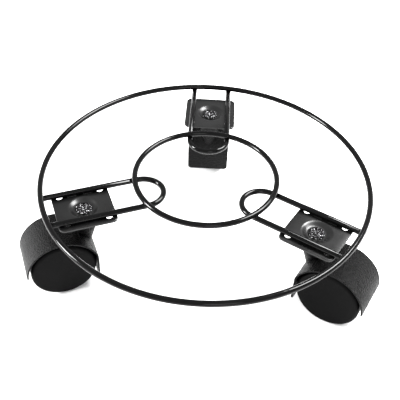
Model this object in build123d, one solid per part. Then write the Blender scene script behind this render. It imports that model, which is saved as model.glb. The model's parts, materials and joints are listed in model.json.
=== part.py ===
from build123d import *

import os
from math import asin, degrees, sqrt

# Plant pot caddy: two welded wire rings on three hairpin spokes, each spoke carrying a plate
# caster with a swivelling hood and two wheels.
# Frame: origin on the floor under the centre of the rings, +Z up, millimetres.
# Caster pieces are drawn around their kingpin: X points at the axle, Y runs along it.

# ---- wire frame ----
WIRE_D = 4.5
OUTER_RING_R = 127.0
INNER_RING_R = 55.4
SPOKE_ANGLE = {"back": 88.9, "left": 201.2, "right": 328.4}
LEG_OFFSET = 15.5
BEND_CENTRE = 50.8
LEG_END = 127.5

# ---- welds ----
WELD_SETDOWN = 0.9
WELD_R = 1.5
WELD_LENGTH = 4.4
PLATE_WELD_R = 0.9
PLATE_WELD_LENGTH = 7.0
PLATE_WELD_SPREAD = 6.0
PLATE_WELD_TUCK = 1.5

# ---- top plate ----
PLATE_SIZE = 43.5
PLATE_T = 1.6
PLATE_CORNER_R = 4.5
PLATE_EDGE_R = 0.45
PLATE_CENTRE = {"back": 94.6, "left": 97.0, "right": 97.0}
HOLE_R = 2.6
HOLE_PITCH = 31.3
DISH_TOP_R = 12.3
DISH_FLOOR_R = 7.3
DISH_DEPTH = 2.0

# ---- kingpin and what rides on it ----
KINGPIN_R = 5.0
KINGPIN_LENGTH = 12.0
KINGPIN_CHAMFER = 0.8
BORE_SPARE = 1.0
RUNNING_GAP = 0.06
RIVET_HEAD_R = 6.5
RIVET_HEAD_H = 1.7
RIVET_EDGE_R = 1.1
RIVET_PETALS = 9
PETAL_GROOVE_R = 0.75
DIMPLE_R = 2.0
DIMPLE_DEPTH = 1.0
SNAP_RING_R = 4.9
SNAP_RING_WIRE_R = 0.6
SNAP_RING_DROP = 8.0
SNAP_RING_SPLIT = 1.6
NECK_W = 1.6
RING_ROOM_DEPTH = 0.9
RING_ROOM_W = 2.2
WASHER_R = 7.3
WASHER_T = 1.0
SWIVEL_GAP = 0.3

# ---- wheels ----
TRAIL = 22.5
REST_SWIVEL = {"back": 90.0, "left": 202.0, "right": 330.0}
WHEEL_R = 25.0
WHEEL_INNER_Y = 2.8
WHEEL_OUTER_Y = 17.4
WHEEL_EDGE_R = 3.0
WHEEL_INNER_EDGE_R = 1.2
RIM_T = 3.0
FACE_T = 2.6
HUB_R = 6.0
HUB_STEP = 0.3
BORE_END_Y = 14.8
WHEEL_RIBS = 6
RIB_T = 1.6
RIB_RECESS = 1.5
AXLE_R = 3.0
AXLE_HALF_LENGTH = 14.4
AXLE_CHAMFER = 0.6
SNAP_Y = 11.8
SNAP_W = 1.6
SNAP_DEPTH = 0.5

# ---- hood ----
AXLE_DROP = 45.5
HOOD_R = 28.4
HOOD_WALL = 1.2
HOOD_HALF_W = 18.2
HOOD_TAIL_ABOVE_AXLE = 1.0
HOOD_FRONT_X = -4.6
HOOD_FRONT_TOP = 13.0
HOOD_FRONT_BELOW_AXLE = 15.0
FRONT_TOP_R = 6.0
FRONT_CORNER_R = 3.0
WEB_HALF_T = 2.2
WEB_BOSS_R = 8.0
SOCKET_R = 8.0
GUSSET_TIP_R = 2.4
GUSSET_H = 18.0
GUSSET_TOP = 27.0

# ---- heights, from the floor up ----
AXLE_Z = WHEEL_R
PLATE_TOP_Z = AXLE_Z + AXLE_DROP
LEG_Z = PLATE_TOP_Z + WIRE_D / 2
RING_Z = LEG_Z + WIRE_D - WELD_SETDOWN
DISH_FLOOR_Z = PLATE_TOP_Z - DISH_DEPTH
DISH_UNDER_Z = DISH_FLOOR_Z - PLATE_T
SOCKET_TOP_Z = DISH_UNDER_Z - WASHER_T - SWIVEL_GAP
SNAP_RING_Z = SOCKET_TOP_Z - SNAP_RING_DROP
WELL_R = HOOD_R - HOOD_WALL

SIDES = {"a": 1, "b": -1}


def save(shape, name):
    shape.label = name
    export_step(shape, os.path.join("parts", name + ".step"))


def group(solids):
    return Compound(children=solids)


def at_spoke(name, shape):
    """Turns a shape made along +X into line with one spoke."""
    return Location((0, 0, 0), (0, 0, SPOKE_ANGLE[name])) * shape


def at_plate(name, shape):
    """Places a shape made around the kingpin, with +X pointing out along the spoke."""
    return at_spoke(name, Location((PLATE_CENTRE[name], 0, 0)) * shape)


def at_swivel(name, shape):
    """Places a shape made around the kingpin, with +X pointing at the axle, at its rest swivel."""
    turned = Location((0, 0, 0), (0, 0, REST_SWIVEL[name] - SPOKE_ANGLE[name])) * shape
    return at_plate(name, turned)


def upright_disc(radius, y_low, y_high, x=0.0, z=0.0):
    """A cylinder whose axis is along Y."""
    centre = Location((x, (y_low + y_high) / 2, z), (90, 0, 0))
    return centre * Cylinder(radius, y_high - y_low)


def block(x_low, x_high, y_low, y_high, z_low, z_high):
    """A box given by its faces."""
    centre = Location(((x_low + x_high) / 2, (y_low + y_high) / 2, (z_low + z_high) / 2))
    return centre * Box(x_high - x_low, y_high - y_low, z_high - z_low)


# ---------------------------------------------------------------- wire frame


def ring(radius):
    return Location((0, 0, RING_Z)) * Torus(radius, WIRE_D / 2)


def hairpin():
    """One spoke: a wire bent into a U, its two legs running out under the outer ring."""
    start = (LEG_END, LEG_OFFSET, LEG_Z)
    bend_in = (BEND_CENTRE, LEG_OFFSET, LEG_Z)
    bend_tip = (BEND_CENTRE - LEG_OFFSET, 0, LEG_Z)
    bend_out = (BEND_CENTRE, -LEG_OFFSET, LEG_Z)
    finish = (LEG_END, -LEG_OFFSET, LEG_Z)
    path = Line(start, bend_in) + ThreePointArc(bend_in, bend_tip, bend_out) + Line(bend_out, finish)
    section = Plane(origin=start, z_dir=(-1, 0, 0)) * Circle(WIRE_D / 2)
    return sweep(section, path=path)


def crossing_weld(ring_radius, side):
    """The weld where one leg crosses under a ring: a short bead in the corner of the two wires."""
    x = sqrt(ring_radius**2 - LEG_OFFSET**2)
    turn = degrees(asin(side * LEG_OFFSET / ring_radius))
    middle_z = (RING_Z + LEG_Z) / 2
    bead = Cylinder(WELD_R, WELD_LENGTH)
    along_leg = Location((x, side * LEG_OFFSET, middle_z), (0, 90, 0)) * bead
    along_ring = Location((x, side * LEG_OFFSET, middle_z), (90, 0, turn)) * bead
    return along_leg + along_ring


def plate_weld(side, x):
    """A fillet bead in the corner between a leg and the plate it lies on, around the kingpin."""
    y = side * (LEG_OFFSET - PLATE_WELD_TUCK)
    bead = Location((x, y, PLATE_TOP_Z), (0, 90, 0)) * Cylinder(PLATE_WELD_R, PLATE_WELD_LENGTH)
    half = PLATE_WELD_LENGTH / 2
    reach = 2 * PLATE_WELD_R
    return bead & block(x - half, x + half, y - reach, y + reach, PLATE_TOP_Z, PLATE_TOP_Z + reach)


# ---------------------------------------------------------------- caster, fixed to the frame


def top_plate():
    """Square stamped plate with four corner holes and a round dish for the kingpin's head."""
    blank = Location((0, 0, PLATE_TOP_Z - PLATE_T / 2)) * Box(PLATE_SIZE, PLATE_SIZE, PLATE_T)
    blank = fillet(blank.edges().filter_by(Axis.Z), PLATE_CORNER_R)
    blank = fillet(blank.faces().sort_by(Axis.Z)[-1].edges(), PLATE_EDGE_R)
    through = Location((0, 0, PLATE_TOP_Z)) * Cylinder(DISH_TOP_R, 3 * PLATE_T)
    plate = blank - through + dish()
    plate = plate - Location((0, 0, DISH_FLOOR_Z)) * Cylinder(KINGPIN_R, 3 * PLATE_T)
    for hole in GridLocations(HOLE_PITCH, HOLE_PITCH, 2, 2):
        plate = plate - hole * Location((0, 0, PLATE_TOP_Z)) * Cylinder(HOLE_R, 3 * PLATE_T)
    return plate


def dish():
    """The dished middle of the plate: the same sheet, drawn down in an S curve."""
    rim_top = (DISH_TOP_R, 0, PLATE_TOP_Z)
    rim_under = (DISH_TOP_R, 0, PLATE_TOP_Z - PLATE_T)
    upper = Spline(rim_top, (DISH_FLOOR_R, 0, DISH_FLOOR_Z), tangents=[(-1, 0, 0), (-1, 0, 0)])
    floor = Line((DISH_FLOOR_R, 0, DISH_FLOOR_Z), (0, 0, DISH_FLOOR_Z))
    axis_line = Line((0, 0, DISH_FLOOR_Z), (0, 0, DISH_UNDER_Z))
    under = Line((0, 0, DISH_UNDER_Z), (DISH_FLOOR_R, 0, DISH_UNDER_Z))
    lower = Spline((DISH_FLOOR_R, 0, DISH_UNDER_Z), rim_under, tangents=[(1, 0, 0), (1, 0, 0)])
    edge = Line(rim_under, rim_top)
    return revolve(make_face([upper, floor, axis_line, under, lower, edge]), Axis.Z, 360)


def kingpin():
    """Pin riveted into the plate: a fluted head in the dish and a grooved shank below."""
    shank_bottom = SOCKET_TOP_Z - KINGPIN_LENGTH
    length = DISH_FLOOR_Z - shank_bottom
    shank = Location((0, 0, shank_bottom + length / 2)) * Cylinder(KINGPIN_R, length)
    shank = chamfer(shank.edges().sort_by(Axis.Z)[0], KINGPIN_CHAMFER)
    head_top_z = DISH_FLOOR_Z + RIVET_HEAD_H
    head = Location((0, 0, DISH_FLOOR_Z + RIVET_HEAD_H / 2)) * Cylinder(RIVET_HEAD_R, RIVET_HEAD_H)
    head = fillet(head.edges().sort_by(Axis.Z)[-1], RIVET_EDGE_R)
    flute = Location((RIVET_HEAD_R, 0, head_top_z), (0, 90, 0)) * Cylinder(PETAL_GROOVE_R, RIVET_HEAD_R)
    for turn in PolarLocations(0, RIVET_PETALS):
        head = head - turn * flute
    dimple = Location((0, 0, head_top_z - DIMPLE_DEPTH / 2)) * Cone(DIMPLE_R / 4, DIMPLE_R, DIMPLE_DEPTH)
    neck = Cylinder(KINGPIN_R + 1, NECK_W) - Cylinder(SNAP_RING_R - SNAP_RING_WIRE_R, NECK_W)
    return shank + head - dimple - Location((0, 0, SNAP_RING_Z)) * neck


def snap_ring():
    """Split wire ring in the kingpin's groove, which holds the hood up on the pin."""
    hoop = Torus(SNAP_RING_R, SNAP_RING_WIRE_R)
    split = Location((SNAP_RING_R, 0, 0)) * Box(SNAP_RING_R, SNAP_RING_SPLIT, SNAP_RING_R)
    return Location((0, 0, SNAP_RING_Z)) * (hoop - split)


def swivel_washer():
    washer = Cylinder(WASHER_R, WASHER_T) - Cylinder(KINGPIN_R + RUNNING_GAP, WASHER_T)
    return Location((0, 0, DISH_UNDER_Z - WASHER_T / 2)) * washer


# ---------------------------------------------------------------- caster, swivelling


def hood_outside():
    """The hood's outer form: an arc over both wheels and a straight front wall, made solid."""
    w = HOOD_HALF_W
    tail_z = AXLE_Z + HOOD_TAIL_ABOVE_AXLE
    arc = upright_disc(HOOD_R, -w, w, TRAIL, AXLE_Z)
    arc = arc & block(HOOD_FRONT_X, TRAIL + HOOD_R + 1, -w, w, tail_z, AXLE_Z + HOOD_R + 1)
    front = block(HOOD_FRONT_X, TRAIL, -w, w, AXLE_Z - HOOD_FRONT_BELOW_AXLE, AXLE_Z + HOOD_FRONT_TOP)
    front = fillet(front.edges().filter_by(Axis.X).group_by(Axis.Z)[0], FRONT_CORNER_R)
    front = fillet(front.edges().filter_by(Axis.Y).group_by(Axis.X)[0].sort_by(Axis.Z)[-1], FRONT_TOP_R)
    return arc + front


def socket():
    """The boss around the kingpin, with a gusset under it that narrows down the front wall."""
    low = AXLE_Z + GUSSET_TOP
    boss_h = SOCKET_TOP_Z - low
    boss = Location((0, 0, low + boss_h / 2)) * Cylinder(SOCKET_R, boss_h)
    gusset = Location((0, 0, low - GUSSET_H / 2)) * Cone(GUSSET_TIP_R, SOCKET_R, GUSSET_H)
    return boss + gusset


def wheel_well(side):
    """The room for one wheel: round over the axle, open straight down and out to the side."""
    low, high = sorted((side * WEB_HALF_T, side * (HOOD_HALF_W + 1)))
    round_part = upright_disc(WELL_R, low, high, TRAIL, AXLE_Z)
    below = block(TRAIL - WELL_R, TRAIL + WELL_R, low, high, AXLE_Z - WHEEL_R, AXLE_Z)
    behind_wall = block(HOOD_FRONT_X + HOOD_WALL, TRAIL + HOOD_R, low, high, 0, AXLE_Z + HOOD_R)
    return (round_part + below) & behind_wall


def hood():
    """Moulded hood: a shell over both wheels, a web between them, and a socket for the kingpin."""
    shell = hood_outside() + socket()
    for side in SIDES.values():
        shell = shell - wheel_well(side)
    shell = shell + upright_disc(WEB_BOSS_R, -WEB_HALF_T, WEB_HALF_T, TRAIL, AXLE_Z)
    bore_depth = KINGPIN_LENGTH + BORE_SPARE
    bore = Location((0, 0, SOCKET_TOP_Z - bore_depth / 2)) * Cylinder(KINGPIN_R + RUNNING_GAP, bore_depth)
    ring_room = Location((0, 0, SNAP_RING_Z)) * Cylinder(KINGPIN_R + RING_ROOM_DEPTH, RING_ROOM_W)
    axle_hole = upright_disc(AXLE_R, -WEB_HALF_T - 1, WEB_HALF_T + 1, TRAIL, AXLE_Z)
    return shell - bore - ring_room - axle_hole


def axle():
    """Steel pin pressed through the web, with a groove near each end for the wheels' snap beads."""
    pin = upright_disc(AXLE_R, -AXLE_HALF_LENGTH, AXLE_HALF_LENGTH, TRAIL, AXLE_Z)
    pin = chamfer(pin.edges(), AXLE_CHAMFER)
    for side in SIDES.values():
        low = side * SNAP_Y - SNAP_W / 2
        high = side * SNAP_Y + SNAP_W / 2
        groove = upright_disc(AXLE_R + 1, low, high, TRAIL, AXLE_Z)
        groove = groove - upright_disc(AXLE_R - SNAP_DEPTH, low, high, TRAIL, AXLE_Z)
        pin = pin - groove
    return pin


# ---------------------------------------------------------------- wheels


def wheel(side):
    """One moulded wheel: outer face closed and smooth, the side by the web open and ribbed."""
    body = upright_disc(WHEEL_R, WHEEL_INNER_Y, WHEEL_OUTER_Y)
    body = fillet(body.edges().sort_by(Axis.Y)[-1], WHEEL_EDGE_R)
    body = fillet(body.edges().sort_by(Axis.Y)[0], WHEEL_INNER_EDGE_R)
    body = body - upright_disc(WHEEL_R - RIM_T, WHEEL_INNER_Y - 1, WHEEL_OUTER_Y - FACE_T)
    body = body + upright_disc(HUB_R, WHEEL_INNER_Y - HUB_STEP, WHEEL_OUTER_Y - FACE_T)
    rib_low = WHEEL_INNER_Y + RIB_RECESS
    rib = block(HUB_R - 1, WHEEL_R - RIM_T + 1, rib_low, WHEEL_OUTER_Y - FACE_T, -RIB_T / 2, RIB_T / 2)
    for number in range(WHEEL_RIBS):
        body = body + Location((0, 0, 0), (0, 360 / WHEEL_RIBS * number, 0)) * rib
    body = body - upright_disc(AXLE_R + RUNNING_GAP, WHEEL_INNER_Y - 1, BORE_END_Y)
    body = body + snap_bead()
    if side < 0:
        body = body.mirror(Plane.XZ)
    return Location((TRAIL, 0, AXLE_Z)) * body


def snap_bead():
    """The ridge inside the hub that sits in the axle's groove and keeps the wheel on."""
    half = SNAP_W / 2 - 2 * RUNNING_GAP
    bead = upright_disc(AXLE_R + 1, SNAP_Y - half, SNAP_Y + half)
    return bead - upright_disc(AXLE_R - SNAP_DEPTH + RUNNING_GAP, SNAP_Y - half, SNAP_Y + half)


def main():
    os.makedirs("parts", exist_ok=True)
    outer_ring = ring(OUTER_RING_R)
    inner_ring = ring(INNER_RING_R)
    save(outer_ring, "outer_ring")
    save(inner_ring, "inner_ring")
    ring_welds = []
    plate_welds = []
    for name in SPOKE_ANGLE:
        spoke = at_spoke(name, hairpin()) - outer_ring - inner_ring
        save(spoke, "spoke_" + name)
        for side in SIDES.values():
            for radius, wire in ((OUTER_RING_R, outer_ring), (INNER_RING_R, inner_ring)):
                bead = at_spoke(name, crossing_weld(radius, side)) - spoke - wire
                ring_welds += bead.solids()
            for x_offset in (-PLATE_WELD_SPREAD, PLATE_WELD_SPREAD):
                bead = at_plate(name, plate_weld(side, x_offset)) - spoke
                plate_welds += bead.solids()
    save(group(ring_welds), "ring_welds")
    save(group(plate_welds), "plate_welds")
    for name in SPOKE_ANGLE:
        save(at_plate(name, top_plate()), "top_plate_" + name)
        save(at_plate(name, kingpin()), "kingpin_" + name)
        save(at_plate(name, snap_ring()), "snap_ring_" + name)
        save(at_plate(name, swivel_washer()), "swivel_washer_" + name)
        save(at_swivel(name, hood()), "hood_" + name)
        save(at_swivel(name, axle()), "axle_" + name)
        for letter, side in SIDES.items():
            save(at_swivel(name, wheel(side)), "wheel_" + name + "_" + letter)


main()
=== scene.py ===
import json
import math

import bmesh
import bpy
from mathutils import Matrix, Vector


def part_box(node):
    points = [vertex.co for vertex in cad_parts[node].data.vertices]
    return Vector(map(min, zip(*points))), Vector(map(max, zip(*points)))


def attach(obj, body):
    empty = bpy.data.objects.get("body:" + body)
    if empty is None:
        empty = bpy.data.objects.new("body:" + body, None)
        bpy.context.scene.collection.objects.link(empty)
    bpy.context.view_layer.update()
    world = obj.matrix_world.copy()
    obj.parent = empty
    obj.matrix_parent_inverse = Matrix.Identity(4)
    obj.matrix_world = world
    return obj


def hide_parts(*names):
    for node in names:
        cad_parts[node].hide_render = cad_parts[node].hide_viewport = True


# Plant pot caddy: two black wire rings on three hairpin spokes and three hooded casters.
# Metres, in the CAD row's frame: origin on the floor under the rings, +Z up.

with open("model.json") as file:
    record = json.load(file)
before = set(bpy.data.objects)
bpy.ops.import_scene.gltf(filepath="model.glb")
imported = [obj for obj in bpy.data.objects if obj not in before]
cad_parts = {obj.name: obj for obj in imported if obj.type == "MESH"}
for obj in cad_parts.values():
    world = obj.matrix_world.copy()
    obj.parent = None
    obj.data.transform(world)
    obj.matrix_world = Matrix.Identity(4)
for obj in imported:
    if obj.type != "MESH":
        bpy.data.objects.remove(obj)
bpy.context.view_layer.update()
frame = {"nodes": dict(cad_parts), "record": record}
record = frame["record"]
BODIES = record["behaviour"]["bodies"]
BODY_OF = {node: body for body, nodes in BODIES.items() for node in nodes}
SLOT_OF = {part["node"]: part["material_slot"] for part in record["subparts"]}
CASTERS = ("back", "left", "right")
MM = 0.001
RIVET_HEAD_H = 1.7 * MM
RIVET_PETALS = 9
KINGPIN_SHARE = 5.0 / 6.5
PIN_R = 5.0 * MM
DISH_R = 12.3 * MM
DISH_DEPTH = 2.0 * MM
DISH_FLAT = 0.25
PLATE_HALF = 21.75 * MM
PLATE_CORNER_R = 4.5 * MM
PLATE_EDGE_R = 0.45 * MM
PLATE_T = 1.6 * MM
HOLE_R = 2.6 * MM
HOLE_PITCH = 31.3 * MM
HOOD_EDGE_R = 0.35 * MM
SEAM_MERGE = 0.002 * MM
FLAT_ANGLE = 0.002
HOOD_SHARP_ANGLE = 0.5
PLATE_SHARP_ANGLE = 0.5
WHEEL_SHARP_ANGLE = 0.6
SPOKE_SHARP_ANGLE = 0.9
COAT_WAVE_DEPTH = 0.06 * MM
METAL_STREAK_DEPTH = 0.03 * MM
CAMERA_ELEVATION = 42.14
CAMERA_ROLL = 2.51
CAMERA_DISTANCE = 3.932
CAMERA_AIM = (-0.0297, -0.2235)
CAMERA_LENS_MM = 60.0
CAMERA_SENSOR_MM = 36.0
FLOOR_HALF = 60.0
WORLD_STRENGTH = 0.9
BEVEL_SEGMENTS = 3
PETAL_DEPTH = 0.75
PETAL_STEPS = 16
RAMP_LOW, RAMP_HIGH = 0.3, 0.7
SPREAD_LOW, SPREAD_HIGH = 0.25, 0.75
COOL_TINT = 1.02
COAT_WAVES_PER_M = 260.0
COAT_PATCHES_PER_M = 60.0
CLOUDS_PER_M = 70.0
STREAKS_PER_M = 900.0


# ---------------------------------------------------------------- materials


def new_material(name, roughness, metallic=0.0, specular=0.5):
    """An empty Principled material; what is the same all over sits on the shader's own sockets."""
    material = bpy.data.materials.new(name)
    material.use_nodes = True
    shader = material.node_tree.nodes["Principled BSDF"]
    shader.inputs["Roughness"].default_value = roughness
    shader.inputs["Metallic"].default_value = metallic
    shader.inputs["Specular IOR Level"].default_value = specular
    return material, shader


def add_noise(material, scale, detail=3.0, stretch=(1.0, 1.0, 1.0)):
    """Noise over the object's own space, in metres; scale is bumps per metre."""
    nodes = material.node_tree.nodes
    links = material.node_tree.links
    where = nodes.new("ShaderNodeTexCoord")
    squeeze = nodes.new("ShaderNodeMapping")
    squeeze.inputs["Scale"].default_value = stretch
    noise = nodes.new("ShaderNodeTexNoise")
    noise.inputs["Scale"].default_value = scale
    noise.inputs["Detail"].default_value = detail
    links.new(where.outputs["Object"], squeeze.inputs["Vector"])
    links.new(squeeze.outputs["Vector"], noise.inputs["Vector"])
    return noise.outputs["Fac"]


def add_cells(material, scale):
    """Small rounded cells over the object's own space, for a moulded grain."""
    nodes = material.node_tree.nodes
    where = nodes.new("ShaderNodeTexCoord")
    cells = nodes.new("ShaderNodeTexVoronoi")
    cells.inputs["Scale"].default_value = scale
    material.node_tree.links.new(where.outputs["Object"], cells.inputs["Vector"])
    return cells.outputs["Distance"]


def vary_colour(material, shader, factor, dark, light):
    """Runs the base colour from dark to light over the middle of a noise."""
    ramp = material.node_tree.nodes.new("ShaderNodeValToRGB")
    ramp.color_ramp.elements[0].position = RAMP_LOW
    ramp.color_ramp.elements[0].color = (*dark, 1.0)
    ramp.color_ramp.elements[1].position = RAMP_HIGH
    ramp.color_ramp.elements[1].color = (*light, 1.0)
    material.node_tree.links.new(factor, ramp.inputs["Fac"])
    material.node_tree.links.new(ramp.outputs["Color"], shader.inputs["Base Color"])


def vary_roughness(material, shader, factor, low, high):
    """Runs the roughness from low to high over the middle of a noise."""
    spread = material.node_tree.nodes.new("ShaderNodeMapRange")
    spread.inputs["From Min"].default_value = SPREAD_LOW
    spread.inputs["From Max"].default_value = SPREAD_HIGH
    spread.inputs["To Min"].default_value = low
    spread.inputs["To Max"].default_value = high
    material.node_tree.links.new(factor, spread.inputs["Value"])
    material.node_tree.links.new(spread.outputs["Result"], shader.inputs["Roughness"])


def add_bump(material, shader, height, depth):
    """Raises the surface by a height texture, depth metres at most."""
    bump = material.node_tree.nodes.new("ShaderNodeBump")
    bump.inputs["Strength"].default_value = 1.0
    bump.inputs["Distance"].default_value = depth
    material.node_tree.links.new(height, bump.inputs["Height"])
    material.node_tree.links.new(bump.outputs["Normal"], shader.inputs["Normal"])


def grey(value):
    """A very slightly cool grey."""
    return (value, value, value * COOL_TINT)


def gloss_coat(name, dark, light, low, high, specular):
    """Black powder coat run out smooth: a slow waviness and small changes in its gloss."""
    material, shader = new_material(name, low, specular=specular)
    waves = add_noise(material, COAT_WAVES_PER_M)
    patches = add_noise(material, COAT_PATCHES_PER_M)
    vary_colour(material, shader, patches, grey(dark), grey(light))
    vary_roughness(material, shader, patches, low, high)
    add_bump(material, shader, waves, COAT_WAVE_DEPTH)
    return material


def moulded_plastic(name, dark, light, low, high, grain_per_m, grain_depth, specular):
    """Moulded nylon: a fine spark grain, cloudy colour and a soft sheen."""
    material, shader = new_material(name, low, specular=specular)
    clouds = add_noise(material, CLOUDS_PER_M, detail=6.0)
    vary_colour(material, shader, clouds, grey(dark), grey(light))
    vary_roughness(material, shader, clouds, low, high)
    add_bump(material, shader, add_cells(material, grain_per_m), grain_depth)
    return material


def bare_metal(name, dark, light, low, high, stretch):
    """Uncoated steel with fine streaks in its colour, gloss and surface."""
    material, shader = new_material(name, low, metallic=1.0)
    streaks = add_noise(material, STREAKS_PER_M, detail=5.0, stretch=stretch)
    vary_colour(material, shader, streaks, grey(dark), grey(light))
    vary_roughness(material, shader, streaks, low, high)
    add_bump(material, shader, streaks, METAL_STREAK_DEPTH)
    return material


MATERIALS = {
    "black_wire": gloss_coat("black_wire_coat", 0.0005, 0.0015, 0.08, 0.13, specular=0.16),
    "black_plate": gloss_coat("black_plate_coat", 0.001, 0.004, 0.24, 0.34, specular=0.34),
    "rivet_steel": bare_metal("blackened_rivet", 0.001, 0.09, 0.06, 0.14, (1.0, 1.0, 0.4)),
    "spring_steel": bare_metal("spring_steel", 0.28, 0.5, 0.25, 0.4, (1.0, 1.0, 0.2)),
    "axle_steel": bare_metal("axle_steel", 0.4, 0.6, 0.2, 0.35, (1.0, 1.0, 0.3)),
    "washer_nylon": moulded_plastic(
        "washer_nylon", 0.5, 0.6, 0.4, 0.5,
        1500.0, 0.02 * MM, specular=0.4),
    "hood_plastic": moulded_plastic(
        "hood_nylon", 0.001, 0.003, 0.36, 0.50,
        1000.0, 0.5 * MM, specular=0.09),
    "wheel_plastic": moulded_plastic(
        "wheel_nylon", 0.001, 0.002, 0.5, 0.62,
        2200.0, 0.03 * MM, specular=0.04),
}


# ---------------------------------------------------------------- pieces


def finished(piece, node):
    """Gives a new piece its material and body, and hides the CAD node it stands for."""
    piece.data.materials.clear()
    piece.data.materials.append(MATERIALS[SLOT_OF[node]])
    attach(piece, BODY_OF[node])
    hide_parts(node)
    return piece


def mesh_piece(name, build):
    """A new object whose mesh is made by build(bm)."""
    mesh = bpy.data.meshes.new(name)
    bm = bmesh.new()
    build(bm)
    bmesh.ops.recalc_face_normals(bm, faces=bm.faces)
    bm.to_mesh(mesh)
    bm.free()
    for face in mesh.polygons:
        face.use_smooth = True
    piece = bpy.data.objects.new(name, mesh)
    bpy.context.scene.collection.objects.link(piece)
    return piece


def grid_faces(bm, rows, closed_rows):
    """Joins rows of vertices into quads. Each row is a loop; closed_rows joins the last to the first."""
    row_count = len(rows)
    column_count = len(rows[0])
    for i in range(row_count if closed_rows else row_count - 1):
        for j in range(column_count):
            a, b = rows[i], rows[(i + 1) % row_count]
            k = (j + 1) % column_count
            bm.faces.new((a[j], b[j], b[k], a[k]))


def softened(node, bevel, angle):
    """A copy of a CAD node with its corners rounded a little and its curved faces shaded smooth."""
    mesh = frame["nodes"][node].data.copy()
    bm = bmesh.new()
    bm.from_mesh(mesh)
    bmesh.ops.remove_doubles(bm, verts=bm.verts, dist=SEAM_MERGE)
    bmesh.ops.dissolve_limit(bm, angle_limit=FLAT_ANGLE, verts=bm.verts, edges=bm.edges)
    for edge in bm.edges:
        edge.smooth = edge.calc_face_angle(0.0) < angle
    bm.to_mesh(mesh)
    bm.free()
    for face in mesh.polygons:
        face.use_smooth = True
    piece = bpy.data.objects.new("look_" + node, mesh)
    bpy.context.scene.collection.objects.link(piece)
    if bevel:
        rounding = piece.modifiers.new("rounding", "BEVEL")
        rounding.width = bevel
        rounding.segments = BEVEL_SEGMENTS
        rounding.limit_method = "ANGLE"
        rounding.angle_limit = angle
        rounding.harden_normals = True
    return finished(piece, node)


def wire_ring(node):
    """A ring of round wire, as a plain torus fitted to the CAD ring's box."""
    low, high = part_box(node)
    wire_r = (high.z - low.z) / 2
    ring_r = (high.x - low.x) / 2 - wire_r
    middle_z = (low.z + high.z) / 2
    around, across = 256, 24

    def build(bm):
        rows = []
        for i in range(around):
            turn = math.tau * i / around
            row = []
            for j in range(across):
                lean = math.tau * j / across
                reach = ring_r + wire_r * math.cos(lean)
                height = middle_z + wire_r * math.sin(lean)
                row.append(bm.verts.new((reach * math.cos(turn), reach * math.sin(turn), height)))
            rows.append(row)
        grid_faces(bm, rows, closed_rows=True)

    return finished(mesh_piece("look_" + node, build), node)


def rounded_square(turn, half, corner_r):
    """How far the edge of a square with rounded corners is from its middle, in one direction."""
    along, across = sorted((abs(math.cos(turn)), abs(math.sin(turn))), reverse=True)
    reach = half / along
    if reach * across <= half - corner_r:
        return reach
    corner = half - corner_r
    toward = corner * (along + across)
    return toward + math.sqrt(toward**2 - 2 * corner**2 + corner_r**2)


def plate_profile():
    """Rows over the plate's top, round its edge and back below: how far from the pin hole's edge
    to the dish's rim (0 to 1), how far from there to the plate's edge (0 to 1), and the height."""
    dish_steps = 20
    edge_steps = 4
    rows = []
    for i in range(dish_steps + 1):
        share = i / dish_steps
        ramp = min(max((share - DISH_FLAT) / (1.0 - DISH_FLAT), 0.0), 1.0)
        rise = ramp * ramp * (3.0 - 2.0 * ramp)
        rows.append((share, 0.0, (rise - 1.0) * DISH_DEPTH))
    rows.append((1.0, 0.5, 0.0))
    edge_share = PLATE_EDGE_R / (PLATE_HALF - DISH_R)
    for i in range(edge_steps + 1):
        lean = math.pi / 2 * i / edge_steps
        outward = 1.0 - edge_share * (1.0 - math.sin(lean))
        rows.append((1.0, outward, -PLATE_EDGE_R * (1.0 - math.cos(lean))))
    top_rows = [row for row in rows if row[1] <= 0.5]
    rows.append((1.0, 1.0, -PLATE_T))
    for share, outward, height in reversed(top_rows):
        rows.append((share, outward, height - PLATE_T))
    return rows


def cut_holes(piece, centre, turn):
    """Cuts the four bolt holes with a Boolean and keeps the result as the piece's own mesh."""
    cutters = bpy.data.meshes.new("hole_cutters")
    bm = bmesh.new()
    for x in (-HOLE_PITCH / 2, HOLE_PITCH / 2):
        for y in (-HOLE_PITCH / 2, HOLE_PITCH / 2):
            place = centre + Matrix.Rotation(turn, 3, "Z") @ Vector((x, y, 0))
            bmesh.ops.create_cone(
                bm, cap_ends=True, segments=40, radius1=HOLE_R, radius2=HOLE_R, depth=6 * PLATE_T,
                matrix=Matrix.Translation(place))
    bm.to_mesh(cutters)
    bm.free()
    cutter = bpy.data.objects.new("hole_cutters", cutters)
    bpy.context.scene.collection.objects.link(cutter)
    cut = piece.modifiers.new("holes", "BOOLEAN")
    cut.object = cutter
    cut.operation = "DIFFERENCE"
    cut.solver = "EXACT"
    keep_modified(piece)
    bpy.data.objects.remove(cutter)


def keep_modified(piece):
    """Makes what a piece's modifiers give its own mesh."""
    graph = bpy.context.evaluated_depsgraph_get()
    made = bpy.data.meshes.new_from_object(piece.evaluated_get(graph))
    piece.modifiers.clear()
    piece.data = made


def mark_sharp(mesh, angle):
    """Shades a mesh smooth but for the edges that turn by more than an angle."""
    bm = bmesh.new()
    bm.from_mesh(mesh)
    for edge in bm.edges:
        edge.smooth = edge.calc_face_angle(0.0) < angle
    bm.to_mesh(mesh)
    bm.free()
    for face in mesh.polygons:
        face.use_smooth = True


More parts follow.
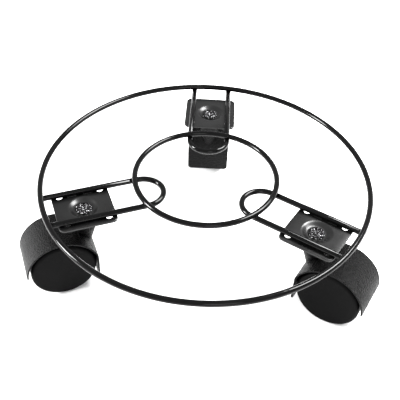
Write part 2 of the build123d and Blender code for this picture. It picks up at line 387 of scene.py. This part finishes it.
def stamped_plate(node):
    """The caster's top plate: rounded square, dished round the rivet, its edges rolled over."""
    low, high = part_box(node)
    middle = (low + high) / 2
    turn = math.atan2(middle.y, middle.x)
    around = 144

    def build(bm):
        rows = []
        for share, outward, height in plate_profile():
            row = []
            for i in range(around):
                lean = math.tau * i / around
                round_r = PIN_R + share * (DISH_R - PIN_R)
                edge_r = rounded_square(lean, PLATE_HALF, PLATE_CORNER_R)
                reach = round_r + outward * (edge_r - DISH_R)
                row.append(bm.verts.new((
                    middle.x + reach * math.cos(lean + turn),
                    middle.y + reach * math.sin(lean + turn), high.z + height)))
            rows.append(row)
        grid_faces(bm, rows, closed_rows=True)

    piece = mesh_piece("look_" + node, build)
    cut_holes(piece, Vector((middle.x, middle.y, high.z)), turn)
    mark_sharp(piece.data, PLATE_SHARP_ANGLE)
    return finished(piece, node)


def rivet(node):
    """The kingpin: a formed head with a ring of petals round a raised collar, and its shank."""
    low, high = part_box(node)
    centre = (low + high) / 2
    head_r = (high.x - low.x) / 2
    shank_r = head_r * KINGPIN_SHARE
    floor_z = high.z - RIVET_HEAD_H
    around = RIVET_PETALS * PETAL_STEPS
    # radius as a share of the head, height as a share of it, and how deep the flutes cut there
    rings = (
        (0.00, 0.35, 0.0), (0.10, 0.40, 0.0), (0.18, 0.85, 0.0), (0.27, 1.00, 0.1), (0.36, 0.90, 0.4),
        (0.42, 0.62, 0.9), (0.50, 0.80, 1.0), (0.62, 0.98, 1.0), (0.76, 0.92, 1.0), (0.88, 0.70, 1.0),
        (0.96, 0.38, 0.8), (1.00, 0.00, 0.0),
    )

    def build(bm):
        rows = []
        for share, rise, flute in rings:
            row = []
            for i in range(around):
                turn = math.tau * i / around
                cut = (0.5 - 0.5 * math.cos(RIVET_PETALS * turn)) ** 2
                height = RIVET_HEAD_H * rise * (1.0 - PETAL_DEPTH * flute * cut)
                reach = max(share, 0.01) * head_r
                row.append(bm.verts.new((
                    centre.x + reach * math.cos(turn),
                    centre.y + reach * math.sin(turn), floor_z + height)))
            rows.append(row)
        for z in (floor_z, low.z):
            rows.append([
                bm.verts.new((
                    centre.x + shank_r * math.cos(math.tau * i / around),
                    centre.y + shank_r * math.sin(math.tau * i / around), z))
                for i in range(around)])
        grid_faces(bm, rows, closed_rows=False)
        bm.faces.new(rows[0])
        bm.faces.new(rows[-1])

    return finished(mesh_piece("look_" + node, build), node)


# ---------------------------------------------------------------- floor, light and camera


def build_floor():
    material, shader = new_material("floor_paper", 0.9, specular=0.1)
    vary_colour(material, shader, add_noise(material, 3.0), (0.90, 0.90, 0.90), (0.93, 0.93, 0.93))

    def build(bm):
        corners = ((-1, -1), (1, -1), (1, 1), (-1, 1))
        bm.faces.new([bm.verts.new((x * FLOOR_HALF, y * FLOOR_HALF, 0)) for x, y in corners])

    floor = mesh_piece("floor", build)
    floor.data.materials.append(material)


def add_softbox(name, place, aim, size, power):
    light = bpy.data.lights.new(name, "AREA")
    light.shape = "RECTANGLE"
    light.size, light.size_y = size
    light.energy = power
    lamp = bpy.data.objects.new(name, light)
    lamp.location = place
    lamp.rotation_mode = "QUATERNION"
    lamp.rotation_quaternion = (Vector(aim) - Vector(place)).to_track_quat("-Z", "Y")
    bpy.context.scene.collection.objects.link(lamp)


def build_light():
    world = bpy.data.worlds.new("studio")
    world.use_nodes = True
    world.node_tree.nodes["Background"].inputs["Color"].default_value = (1.0, 1.0, 1.0, 1.0)
    world.node_tree.nodes["Background"].inputs["Strength"].default_value = WORLD_STRENGTH
    bpy.context.scene.world = world
    bpy.context.scene.view_settings.view_transform = "Standard"
    add_softbox("key", (0.75, 0.4, 1.25), (0, 0, 0.05), (0.6, 0.6), 60.0)
    add_softbox("side", (-1.3, -0.1, 0.6), (-0.1, 0, 0.05), (0.3, 0.5), 45.0)
    add_softbox("front", (0.3, -1.3, 0.9), (0, 0, 0.05), (0.5, 0.2), 4.0)


def build_camera():
    """The viewing angle: about 42 degrees above the floor, with a slight roll."""
    low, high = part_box("outer_ring")
    ring_r = (high.x - low.x - (high.z - low.z)) / 2
    ring_z = (low.z + high.z) / 2
    elevation = math.radians(CAMERA_ELEVATION)
    roll = math.radians(CAMERA_ROLL)
    distance = CAMERA_DISTANCE * ring_r
    aim = Vector((CAMERA_AIM[0] * ring_r, CAMERA_AIM[1] * ring_r, ring_z))
    forward = Vector((0, math.cos(elevation), -math.sin(elevation)))
    level = Vector((1, 0, 0))
    upward = Vector((0, math.sin(elevation), math.cos(elevation)))
    right = math.cos(roll) * level + math.sin(roll) * upward
    up = math.cos(roll) * upward - math.sin(roll) * level
    data = bpy.data.cameras.new("camera")
    data.sensor_width = CAMERA_SENSOR_MM
    data.lens = CAMERA_LENS_MM
    data.clip_start = 0.01
    camera = bpy.data.objects.new("camera", data)
    turn = Matrix((right, up, -forward)).transposed().to_4x4()
    camera.matrix_world = Matrix.Translation(aim - distance * forward) @ turn
    bpy.context.scene.collection.objects.link(camera)
    bpy.context.scene.camera = camera


build_camera()
build_light()
build_floor()

for ring_node in ("outer_ring", "inner_ring"):
    wire_ring(ring_node)
for spoke in CASTERS:
    softened("spoke_" + spoke, 0.0, SPOKE_SHARP_ANGLE)
    stamped_plate("top_plate_" + spoke)
    rivet("kingpin_" + spoke)
    softened("hood_" + spoke, HOOD_EDGE_R, HOOD_SHARP_ANGLE)
    for letter in "ab":
        softened("wheel_" + spoke + "_" + letter, 0.0, WHEEL_SHARP_ANGLE)
for node, body_part in frame["nodes"].items():
    body_part.data.materials.clear()
    body_part.data.materials.append(MATERIALS[SLOT_OF[node]])
